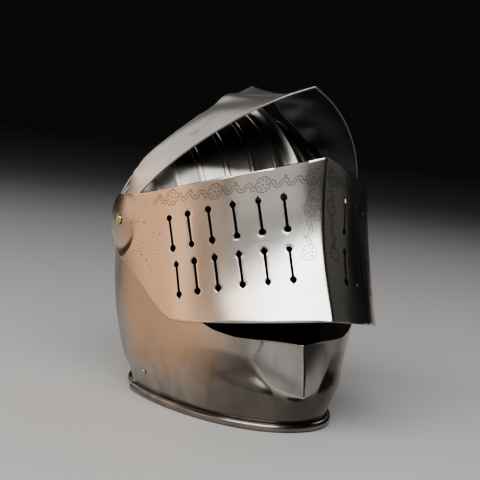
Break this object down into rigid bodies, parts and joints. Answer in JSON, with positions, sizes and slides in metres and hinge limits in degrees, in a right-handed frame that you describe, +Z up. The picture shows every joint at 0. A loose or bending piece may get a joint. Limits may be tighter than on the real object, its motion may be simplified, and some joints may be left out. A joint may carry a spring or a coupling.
{
  "type": "close helmet",
  "caption": "Close helmet: fluted skull, prow-shaped bevor, pierced and chased visor and a raised brow peak, all turning on a rivet at each temple.",
  "frame": {"origin": "middle of the bounding box's underside, on the surface that the rolled lower rims stand on", "axes": "+Z up, the wearer faces -Y, and the wearer's left is +X"},
  "size_m": [0.2148, 0.2846, 0.2615],
  "materials": {
    "skull_steel": "polished, dark",
    "bevor_steel": "polished, a little mottled",
    "visor_steel": "satin polished, chased border",
    "peak_steel": "satin polished",
    "rivet_brass": "polished, worn",
    "rivet_steel": "polished"
  },
  "bodies": {
    "skull_body": {"skull": "skull_steel", "temple_rivet_left": "rivet_brass", "temple_rivet_right": "rivet_brass"},
    "bevor_body": {"bevor": "bevor_steel", "bevor_rivet_left": "rivet_steel", "bevor_rivet_right": "rivet_steel"},
    "visor_body": {"visor": "visor_steel"},
    "peak_body": {"peak": "peak_steel"}
  },
  "joints": [
    {"name": "bevor_pivot", "type": "hinge", "parent": "skull_body", "child": "bevor_body", "pos_m": [0, 0.0245, 0.1415], "axis": [-1, 0, 0], "range_deg": [0, 30]},
    {"name": "visor_pivot", "type": "hinge", "parent": "bevor_body", "child": "visor_body", "pos_m": [0, 0.0245, 0.1415], "axis": [-1, 0, 0], "range_deg": [-20, 15]},
    {"name": "peak_pivot", "type": "hinge", "parent": "visor_body", "child": "peak_body", "pos_m": [0, 0.0245, 0.1415], "axis": [-1, 0, 0], "range_deg": [-20, 3]}
  ]
}
